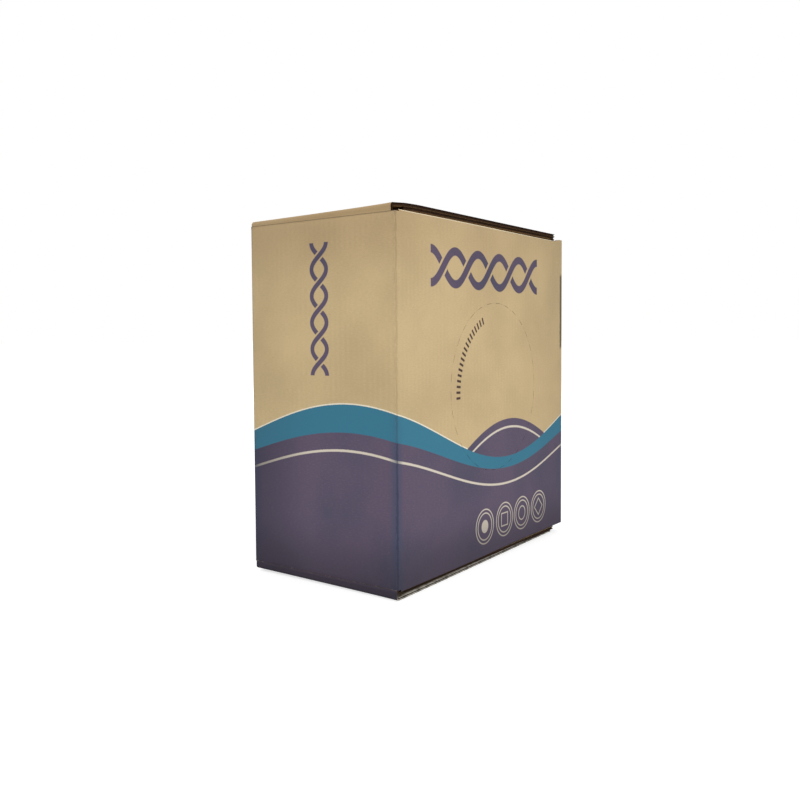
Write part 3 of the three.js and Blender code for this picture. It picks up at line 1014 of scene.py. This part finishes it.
# Rays run from the round opening to the panel's border, so that its corners are met exactly.
def frontWall():
    wall, middle = frontParts()
    total, trim, opening = wall["total"], board["trim"], knockout["radius"]
    side = np.linspace(0, 1, knockout["perSide"], endpoint=False)
    border = np.concatenate([
        np.stack([side * total, 0 * side], -1),
        np.stack([0 * side + total, side * panelHeight], -1),
        np.stack([(1 - side) * total, 0 * side + panelHeight], -1),
        np.stack([0 * side, (1 - side) * panelHeight], -1),
    ])
    away = border - middle
    reach = np.hypot(*away.T)
    direction = away / reach[:, None]
    share = np.linspace(0, 1, knockout["rows"])[:, None] ** knockout["rowSpread"]
    fine = np.array(board["fine"][::-1])[:, None] * mm
    radius = opening + (reach - board["fineReach"] - opening) * share
    radius = np.concatenate([radius, reach - fine])
    s = np.clip(middle[0] + radius * direction[:, 0], 0, total)
    w = np.clip(middle[1] + radius * direction[:, 1], 0, panelHeight)
    far, near = knockout["liftFrom"]
    lift = knockout["jointLift"] * smoothStep(total - far, total - near, s)
    strip, margin = knockout["strip"], knockout["strip"] + 1 * mm
    lifted = w + lift * smoothStep(panelHeight - strip, panelHeight, w)
    sheets = wallLiners(wall, s, w, wrap=True, lifted=lifted)

    ring = opening + np.maximum(knockout["flutes"], trim)[:, None]
    angle = np.linspace(0, fullTurn, knockout["around"], endpoint=False)
    sheets.append(wallFlutes(wall, *roundPoints(middle, ring, angle), wrap=True))
    end = total - board["edgeRecess"]
    for span, heights, rows in (
        ((0, total), (trim, strip), 4),
        ((0, total), (panelHeight - strip, panelHeight - trim), 4),
        ((end - strip, end), (margin, panelHeight - margin), 30),
    ):
        sheets.append(fluteStrip(wall, span, heights, rows))
    finishBoard(buildPiece("frontWall", sheets, boardMaterials), "front_panel", "carton")


# A disc whose rim stands off the panel where the knife cut and touches it at the nicks.
def knockoutDisc():
    wall, middle = frontParts()
    angle = np.linspace(0, fullTurn, knockout["around"], endpoint=False)
    cycle = (angle / fullTurn * knockout["cuts"]) % 1
    share, end = knockout["cutShare"], knockout["cutEnd"]
    cut = smoothStep(0, end, cycle) * (1 - smoothStep(share - end, share, cycle))
    nick = knockout["nickGap"]
    rim = knockout["radius"] - nick - (knockout["cutGap"] - nick) * cut
    rings = np.concatenate([np.linspace(0, 0.9, 22), [0.95, 0.975, 1.0]])
    s, w = roundPoints(middle, rings[:, None] * rim, angle)
    sheets = wallLiners(wall, s, w, wrap=True, wearAndShade=0 * s)
    inner = rim - board["trim"] - knockout["flutes"][:, None]
    sheets.append(wallFlutes(wall, *roundPoints(middle, inner, angle), wrap=True))
    piece = buildPiece("knockoutDisc", sheets, boardMaterials, weld=True)
    finishBoard(piece, "knockout_disc", "knockout")


frontWall()
knockoutDisc()
print("front wall and knock-out")

# the right wall with its hand slot, and the glue tab
slot = {"top": 40 * mm, "height": 90 * mm, "width": 30 * mm, "corner": 10 * mm, "inTab": 3 * mm}
slotHigh = panelHeight - slot["top"]
slotLow = slotHigh - slot["height"]


# Where the panel's board begins at height w: behind the slot beside it, less a quarter circle
# in its corners, and at the fold elsewhere.
def slotEdge(w):
    corner = slot["corner"]
    depth = np.clip(np.minimum(w - slotLow, slotHigh - w), 0, corner)
    rounding = corner - np.sqrt(corner**2 - (corner - depth) ** 2)
    return np.where((w >= slotLow) & (w <= slotHigh), slot["width"] - rounding, 0.0)


# Heights of the rows: graded to the creases, closer in the slot's corners, and two beside each
# other where it begins and ends.
def slotRows(count):
    step, corner, fine = 0.01 * mm, slot["corner"], len(board["fine"])
    turn = corner * (1 - np.cos(np.linspace(0, math.pi / 2, 9)))
    return np.concatenate([
        gradedSteps(0, slotLow - step - 10 * mm, count)[:-fine],
        [slotLow - 12 * mm, slotLow - 6 * mm, slotLow - step],
        slotLow + turn,
        np.linspace(slotLow + corner, slotHigh - corner, 14)[1:-1],
        slotHigh - turn[::-1],
        [slotHigh + step, slotHigh + 4 * mm, slotHigh + 9 * mm],
        gradedSteps(slotHigh + 6 * mm, panelHeight, 8)[fine:],
    ])


# A wall beside the slot: each row runs from its first to its last place along the wall.
def slottedWall(name, node, wall, rows, first, last, columns, trim):
    total = wall["total"]
    s = first + (last - first) * (gradedSteps(0, total, columns) / total)
    sheets = wallLiners(wall, s, np.broadcast_to(rows[:, None], s.shape))
    first = first + trim
    s = first + (last - first) * (fluteSteps(0, total) / total)
    w = np.clip(rows, board["trim"], panelHeight - board["trim"])[:, None]
    sheets.append(wallFlutes(wall, s, np.broadcast_to(w, s.shape)))
    finishBoard(buildPiece(name, sheets, boardMaterials), node, "carton")


wall, rows = makeWall("right", 3), slotRows(30)
first = slotEdge(rows)[:, None]
slottedWall("rightWall", "right_panel", wall, rows, first, wall["total"], 40, board["trim"])
wall, rows = makeWall("tab"), slotRows(44)
last = wall["total"] - np.where(slotEdge(rows) > 0, slot["inTab"], 0.0)[:, None]
slottedWall("glueTab", "glue_tab", wall, rows, 0 * last, last, 6, 0.0)
print("right wall and glue tab")

# flaps
flaps = {
    "left": {"along": (1, 0, 0), "across": (0, -1, 0), "crease": (west, 0),
             "fold": 3 * mm, "node": "left_flap", "panel": cartonDepth},
    "right": {"along": (-1, 0, 0), "across": (0, 1, 0), "crease": (east, 0),
              "fold": 4 * mm, "node": "right_flap", "panel": cartonDepth},
    "front": {"along": (0, 1, 0), "across": (1, 0, 0), "crease": (0, south),
              "fold": 1.5 * mm, "node": "front_dust_flap", "panel": cartonWidth},
    "back": {"along": (0, -1, 0), "across": (-1, 0, 0), "crease": (0, north),
             "fold": 1.5 * mm, "node": "back_dust_flap", "panel": cartonWidth},
}
stack = {
    # how far the outermost flap's fold is pressed down at its front end, and more at its back
    "sag": {"top": (1.5 * mm, 4.0 * mm), "bottom": (0.0, 2.4 * mm)},
    "sagReach": [0, 6 * mm, 20 * mm, 40 * mm],
    "sagShare": [1, 0.8, 0.3, 0],
    "backwards": 0.6,  # below 1, most of it comes near the front
    # how far its front edge stands forward at steps from the fold, and its back edge throughout
    "askewAt": [0, 12 * mm, 30 * mm, 332 * mm],
    "askew": {"top": [0, 0, 2 * mm, 1 * mm], "bottom": [4.6 * mm, 4.4 * mm, 4.0 * mm, -2 * mm]},
    "backReach": 3.4 * mm,
    "longer": {"top": 5 * mm, "bottom": 2 * mm},
    "curl": (0.25 * mm, 40 * mm),  # how much, and from where
    # how far the flap under it comes forward beyond its fold, to where its edge shows
    "closeUp": {"top": 8 * mm, "bottom": 7 * mm},
    "closeUpFrom": (14 * mm, 20 * mm),
    # how far the front dust flaps' folds are pressed down at their left end, and more at the
    # right, over this stretch; it fades past the fold, where the stack's own sag sets in
    "dustSag": {"top": (1.5 * mm, 0.9 * mm), "bottom": (0.6 * mm, 2.6 * mm)},
    "dustStretch": (-90 * mm, 130 * mm),
    "dustReach": 20 * mm,
    "dustUnder": 15 * mm,
    # the flaps' outermost flutes are crushed shut this far in, less where the box stands
    "sideRecess": {("bottom", "left"): 0.4 * mm},
    "otherRecess": 1.2 * mm,
    "crushedWall": 0.4 * mm,
    # a painted highlight along the top dust flaps' folds, and painted shade past the bottom ones'
    # creases
    "foldHighlight": (1.2 * mm, 0.7),  # of the top dust flaps' folds: its width, and widths before flat
    "crushed": (2.3 * mm, 2.6 * mm),  # past the bottom dust flaps' creases
    "near": np.array([1, 2, 4, 6, 9, 12, 16, 20]) * mm,  # rows past the fold
}


# The stack is pressed down beside the outermost flap's fold, most at the back by a power of
# the way there, and comes back to its level within the reach.
def pressed(end, fromFold, y):
    least, more = stack["sag"][end]
    back = np.clip(0.5 + y / cartonDepth, 0, 1) ** stack["backwards"]
    return np.interp(fromFold, stack["sagReach"], stack["sagShare"]) * (least + more * back)


# Columns across a flap and the medium's wave at them, a cosine that starts and ends at a
# liner. Crushed walls from liner to liner close the outermost flutes at both sides.
def closedFlutes(low, high):
    wall = stack["crushedWall"]
    count = round((high - low) / board["flutePitch"])
    turns = np.linspace(0, count, count * board["pointsPerFlute"] + 1)
    at = low + wall + (high - low - 2 * wall) * turns / count
    wave = np.cos(fullTurn * turns)
    return np.concatenate([[low], at, [high]]), np.concatenate([[-1], wave, [-1]])


# A flap is its section carried along its crease. It sinks by what presses on it, and a long
# flap's sides lie askew by a share that grows from its middle to each side.
def makeFlap(end, name):
    flap, atTop = flaps[name], end == "top"
    node = f"{end}_{flap['node']}"
    low, high = (np.array(corner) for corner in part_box(node))
    along, across = np.array(flap["along"]), np.array(flap["across"])
    length = abs((high - low) @ along) + (stack["longer"][end] if name == "left" else 0)
    wLow, wHigh = sorted((low @ across, high @ across))
    level, away = (creaseHigh, (0, 0, 1)) if atTop else (creaseLow, (0, 0, -1))
    rise, fold = abs((high[2] if atTop else low[2]) - level), flap["fold"]
    upright, arc = rise - fold, fold * math.pi / 2
    path = flapPath(length, rise, fold)
    sheet = {"path": path, "place": ((*flap["crease"], level), along, away, across)}
    total = path["at"][-1]

    def sink(s, w):
        x = s - upright - arc + fold
        if name == "left":
            curl, start = stack["curl"]
            loose = curl * smoothStep(start, total, s) * wander(s, w, len(node))
            return np.clip(s / upright, 0, 1) * pressed(end, x, -w) + loose
        if name == "right":
            return pressed(end, cartonWidth - x, w)
        least, more = stack["dustSag"][end] if name == "front" else (0, 0)
        side, y = (w, south + x) if name == "front" else (-w, north - x)
        own = np.clip(s / upright, 0, 1) * np.interp(x, [0, stack["dustReach"]], [1, 0])
        own = own * (least + more * smoothStep(*stack["dustStretch"], w))
        under = pressed(end, np.maximum(side - west, stack["sagReach"][2]), y)
        return own + under * smoothStep(0, stack["dustUnder"], x)

    def askew(s, w):
        towardsBack = smoothStep(0, -wLow, -w)
        if name == "right":
            return w - stack["closeUp"][end] * smoothStep(*stack["closeUpFrom"], s) * towardsBack
        if name == "left":
            forward = np.interp(s, stack["askewAt"], stack["askew"][end])
            return w + forward * smoothStep(0, wHigh, w) - stack["backReach"] * towardsBack
        return w

    def onBlank(s, w):
        u = panels[name]["blank"] + flap["panel"] / 2 + w
        return np.stack([u, panelHeight + s if atTop else -s], -1)

    turned = upright + arc
    turnRows, nearRows = np.linspace(0, turned, 20), turned + stack["near"]
    flatRows = np.linspace(nearRows[-1] + 4 * mm, total, max(8, int(length / (6 * mm))))
    columns = np.linspace(wLow, wHigh, max(24, int((wHigh - wLow) / (5 * mm))))
    rows = np.concatenate([turnRows, nearRows, flatRows])
    s, w = np.meshgrid(rows, columns, indexing="ij")
    edge = np.minimum(np.minimum(w - wLow, wHigh - w), total - s)
    wearAndShade = board["sideWear"][0] * np.exp(-edge / board["sideWear"][1])
    if flap["panel"] == cartonDepth:
        pressedLine, _, reach = board["creaseWear"]
        wearAndShade = np.maximum(wearAndShade, pressedLine * np.exp(-((s / reach) ** 2)))
    # the wear value carries a painted highlight along the top dust flaps' folds and painted shade
    # past the bottom ones' creases
    elif atTop:
        width, before = stack["foldHighlight"]
        wearAndShade = wearAndShade - np.exp(-(((s - turned) / width + before) ** 2))
    else:
        wearAndShade = wearAndShade + 2 * smoothStep(*stack["crushed"], s)
    sheets = liners(sheet, s, askew(s, w), 0 * s, onBlank(s, w), wearAndShade, sink=sink(s, w))

    flatRows = np.linspace(flatRows[0], total - 0.1 * mm, 12)
    rows = np.concatenate([turnRows[::2], nearRows, flatRows])
    recess = stack["sideRecess"].get((end, name), stack["otherRecess"])
    columns, wave = closedFlutes(wLow + recess, wHigh - recess)
    s, w = np.meshgrid(rows, columns, indexing="ij")
    flutes = medium(sheet, s, askew(s, w), wave, 0 * s, onBlank(s, w), sink=sink(s, w))
    piece = buildPiece(end + name.capitalize() + "Flap", [*sheets, flutes], boardMaterials)
    finishBoard(piece, node, end + "_lid" if name == "left" else "carton")


for end in ("top", "bottom"):
    for name in flaps:
        makeFlap(end, name)
print("flaps")

# the coil
coil = {
    "cable": 5.3 * mm,
    "boreGap": 0.7 * mm,
    "sides": 10,
    "steps": 60,
    "innerTurns": 24,
    "innerGap": 0.4 * mm,
    "outerTurns": 26,
    "outerGap": 4 * mm,
    "spacing": 1.06,  # of the turns on its faces, in cables
    "faceGap": 2 * mm,
    "stray": 0.9 * mm,
    "strayWaves": (1.9, 0.37 * fullTurn),
    "core": 0.02,  # what a solid sheet's inside shrinks to
    "markLength": 0.05,  # of a ring's section on its UV map, for each side
    "shades": (srgb(138, 143, 150), srgb(164, 169, 175)),
    "cloud": (60.0, 3.0, 0.5),
    "rub": ((500, 2600), 2.0, 0.5),
}
coilLow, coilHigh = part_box("cable_coil")
layerLow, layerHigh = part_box("cable_inner_layer")
coilMiddle = (coilLow + coilHigh) / 2
coilRadius = (coilHigh.x - coilLow.x) / 2
coilHalf = (coilHigh.y - coilLow.y) / 2
strand = coil["cable"] / 2
layerRadius = (layerHigh.x - layerLow.x) / 2 - strand


# A closed sheet round a solid strand or ring, all of one material.
def solidSheet(outer, inner, blank):
    return closedSheet(outer, inner, (0, 0, 0), blank, np.zeros(outer.shape[:2]), wrap=True)


# A tube along points round the coil's axis. Each ring of the tube is square to the path.
def tubeSheet(points):
    tangent = np.gradient(points, axis=0)
    tangent /= np.linalg.norm(tangent, axis=1)[:, None]
    first = np.cross(tangent, (0, 1, 0))
    first /= np.linalg.norm(first, axis=1)[:, None]
    second = np.cross(tangent, first)
    angle = np.linspace(0, fullTurn, coil["sides"], endpoint=False)
    cosine, sine = np.cos(angle)[:, None], np.sin(angle)[:, None]
    ring = strand * (cosine * first[:, None] + sine * second[:, None])
    steps = np.linalg.norm(np.diff(points, axis=0), axis=1)
    length = np.concatenate([[0], np.cumsum(steps)])
    blank = np.stack(np.meshgrid(length, angle * strand, indexing="ij"), -1)
    return solidSheet(points[:, None] + ring, points[:, None] + coil["core"] * ring, blank)


# Points at a radius from the coil's axis, so many turns round and so far along it.
def turnPoints(turns, radius, y):
    angle = fullTurn * turns
    return np.stack([
        coilMiddle.x + radius * np.cos(angle),
        coilMiddle.y + y,
        coilMiddle.z + radius * np.sin(angle),
    ], -1)


# Even steps through so many turns.
def turnSteps(count):
    return np.linspace(0, count, count * coil["steps"] + 1)


# Grey plastic with clouds of tone, and fine marks along the cable.
def jacketMaterial():
    material, tree, shader = newMaterial("cableJacket")
    place = blankPlace(tree)
    rubMarks = noise(place, coil["rub"])
    colour = blend(noise(place, coil["cloud"]), *coil["shades"])
    dress(shader, colour, rubMarks * 0.25 + 0.30, rubMarks, (0.15, 0.1 * mm))
    return material


jacket = jacketMaterial()


# The innermost layer: an even helix.
def innerLayer():
    turns = turnSteps(coil["innerTurns"])
    reach = (layerHigh.y - layerLow.y) - coil["cable"] - coil["innerGap"]
    y = (turns / coil["innerTurns"] - 0.5) * reach
    sheet = tubeSheet(turnPoints(turns, layerRadius, y))
    piece = buildPiece("cableInnerLayer", [sheet], [jacket])
    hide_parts("cable_inner_layer")
    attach(piece, "carton")


# The rest of the coil: a helix that strays a little over the outside, a spiral on each face
# and the bulk between them as a plain ring just under the strands.
def coilBody():
    bore = layerRadius + strand + coil["boreGap"]
    count, stray = coil["outerTurns"], coil["stray"]
    turns = turnSteps(count)
    slow, quick = coil["strayWaves"]
    y = (turns / count * 2 - 1) * (coilHalf - strand - stray - coil["outerGap"])
    y = y + stray * np.sin(turns * slow) * np.sin(turns * quick)
    sheets = [tubeSheet(turnPoints(turns, coilRadius - strand, y))]
    reach = coilRadius - 3 * strand - bore
    count = int(reach / (coil["cable"] * coil["spacing"]))
    turns = turnSteps(count)
    spiral = bore + strand + (reach - coil["faceGap"]) * turns / count
    for side in (-1, 1):
        y = side * (coilHalf - strand) + 0 * turns
        sheets.append(tubeSheet(turnPoints(turns, spiral, y)))
    sheets.append(coreRing(bore, coilRadius - coil["cable"], coilHalf - coil["cable"]))
    piece = buildPiece("cableCoil", sheets, [jacket])
    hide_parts("cable_coil")
    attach(piece, "carton")


# A rectangle turned round the coil's axis, with its inside shrunk to the rectangle's middle.
def coreRing(inner, outer, half):
    share = np.linspace(0, 4, 41)[:-1]
    radius = np.interp(share, range(5), [inner, outer, outer, inner, inner])
    y = np.interp(share, range(5), [-half, -half, half, half, -half])
    turn, middle = np.linspace(0, 1, 97)[:, None], (inner + outer) / 2
    grids = [
        turnPoints(turn, middle + size * (radius - middle), size * y + 0 * turn)
        for size in (1.0, coil["core"])
    ]
    blank = np.stack(np.meshgrid(turn, share * coil["markLength"], indexing="ij"), -1)
    return solidSheet(*grids, blank)


innerLayer()
coilBody()
print("coil")

ties = {
    "shades": (srgb(206, 206, 200), srgb(232, 232, 226)),
    "cloud": (120.0, 3.0, 0.5),
    "weave": 700.0,
}


# A woven band: a fine check in its bump, and clouds of tone.
def tieMaterial():
    material, tree, shader = newMaterial("tieBand")
    place = addNode(tree, "ShaderNodeTexCoord", {}, output="Object")
    check = {"Vector": place, "Scale": ties["weave"],
             "Color1": (1, 1, 1, 1), "Color2": (0, 0, 0, 1)}
    weave = addNode(tree, "ShaderNodeTexChecker", check, output="Fac")
    cloud = noise(place, ties["cloud"])
    dress(shader, blend(cloud, *ties["shades"]), cloud * 0.2 + 0.28, weave, (0.25, 0.1 * mm))
    return material


tieBand = tieMaterial()
for name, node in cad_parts.items():
    if name.startswith("coil_tie"):
        node.data.materials.clear()
        node.data.materials.append(tieBand)
print("ties")

# stage, light and camera
studio = {
    "worldStrength": 0.765,
    "keyPower": 335,
    "keySize": 0.35,
    "keyBeam": 15.2,  # degrees, with an edge that fades from the middle of the beam outwards
    "keyPlace": (-1.78, -2.31, 1.30),
    "keyTarget": (-0.10, -0.09, 0.19),
    "fillPower": 26,
    "fillSize": 1.6,
    "fillPlace": (1.6, 2.1, 1.5),
    "fillTarget": (0, 0, 0.15),
    "floorReach": 30.0,
    "floorDrop": 0.2 * mm,
    "floorColours": ((0.55, 0.55, 0.55, 1), (0.56, 0.56, 0.56, 1)),
    "floorCloud": (2.0, 2.0, 0.5),
    "floorGlow": 0.66,  # what the floor adds towards the camera, so that it reads as white
}


# 1 for the named kind of ray and 0 for the others.
def rayKind(tree, kind):
    return addNode(tree, "ShaderNodeLightPath", {}, output=kind)


# The floor keeps the shadow: its own shading is seen, with an even glow on top.
def addFloor():
    floor = bpy.data.meshes.new("floor")
    reach, level = studio["floorReach"], -studio["floorDrop"]
    corners = [(x * reach, y * reach, level) for x, y in ((-1, -1), (1, -1), (1, 1), (-1, 1))]
    floor.from_pydata(corners, [], [(0, 1, 2, 3)])
    material, tree, shader = newMaterial("paleFloor")
    place = addNode(tree, "ShaderNodeTexCoord", {}, output="Object")
    colour = blend(noise(place, studio["floorCloud"]), *studio["floorColours"])
    connect(colour, shader["Base Color"])
    connect(rayKind(tree, "Is Camera Ray") * studio["floorGlow"], shader["Emission Strength"])
    shader["Emission Color"].default_value = (1, 1, 1, 1)
    shader["Roughness"].default_value = 0.9
    shader["Specular IOR Level"].default_value = 0.1
    floor.materials.append(material)
    piece = bpy.data.objects.new("floor", floor)
    bpy.context.scene.collection.objects.link(piece)


# White to the camera and in reflections, and a plain level for the rest.
def addWorld():
    world = bpy.data.worlds.new("studio")
    bpy.context.scene.world = world
    world.use_nodes = True
    tree = world.node_tree
    tree.nodes.clear()
    seen = larger(rayKind(tree, "Is Camera Ray"), rayKind(tree, "Is Glossy Ray"))
    strength = seen * (1 - studio["worldStrength"]) + studio["worldStrength"]
    light = addNode(tree, "ShaderNodeBackground", {"Color": (1, 1, 1, 1), "Strength": strength})
    connect(light, tree.nodes.new("ShaderNodeOutputWorld").inputs[0])


# A lamp at a place, turned so that it shines at its target.
def addLamp(name, kind, at, target, power):
    lamp = bpy.data.lights.new(name, kind)
    lamp.energy = power
    holder = bpy.data.objects.new(name, lamp)
    holder.location = at
    holder.rotation_mode = "QUATERNION"
    holder.rotation_quaternion = (Vector(at) - Vector(target)).to_track_quat("Z", "Y")
    bpy.context.scene.collection.objects.link(holder)
    return lamp


# A soft beam from the front left, and a weak fill that keeps the far sides readable.
def addLamps():
    key = addLamp("key", "SPOT", studio["keyPlace"], studio["keyTarget"], studio["keyPower"])
    key.spot_size, key.spot_blend = math.radians(studio["keyBeam"]), 1.0
    key.shadow_soft_size = studio["keySize"]
    fill = addLamp("fill", "AREA", studio["fillPlace"], studio["fillTarget"], studio["fillPower"])
    fill.size = studio["fillSize"]


# The camera stands where the fit to the carton's corners puts it, in panel heights from the
# near bottom corner.
viewpoint = {
    "fromCorner": (-1.7553, -1.2927, 0.6756),
    "yaw": 53.90,
    "pitch": -2.704,
    "roll": -0.356,
    "focalPixels": 835.6,
    "axisRow": 375,
    "frame": 800,
    "sensor": 36,
    "clip": (0.01, 50),
}


# Yaw turns the view round the upright, pitch tips it, and roll turns it round itself.
def addCamera():
    lens, pixels = bpy.data.cameras.new("camera"), viewpoint["frame"]
    lens.sensor_width = viewpoint["sensor"]
    lens.lens = viewpoint["sensor"] * viewpoint["focalPixels"] / pixels
    lens.shift_y = (viewpoint["axisRow"] - pixels / 2) / pixels
    lens.clip_start, lens.clip_end = viewpoint["clip"]
    camera = bpy.data.objects.new("camera", lens)
    yaw, pitch, roll = (math.radians(viewpoint[k]) for k in ("yaw", "pitch", "roll"))
    level = math.cos(pitch)
    forward = Vector((level * math.sin(yaw), level * math.cos(yaw), math.sin(pitch)))
    right = forward.cross(Vector((0, 0, 1))).normalized()
    upward = right.cross(forward)
    turnedRight = math.cos(roll) * right + math.sin(roll) * upward
    turnedUp = -math.sin(roll) * right + math.cos(roll) * upward
    place = Vector((west, south, creaseLow)) + panelHeight * Vector(viewpoint["fromCorner"])
    turn = Matrix((turnedRight, turnedUp, -forward)).transposed().to_4x4()
    camera.matrix_world = Matrix.Translation(place) @ turn
    bpy.context.scene.collection.objects.link(camera)
    bpy.context.scene.camera = camera


addFloor()
addWorld()
addLamps()
addCamera()
bpy.context.scene.view_settings.view_transform = "Standard"
print("stage, light and camera")
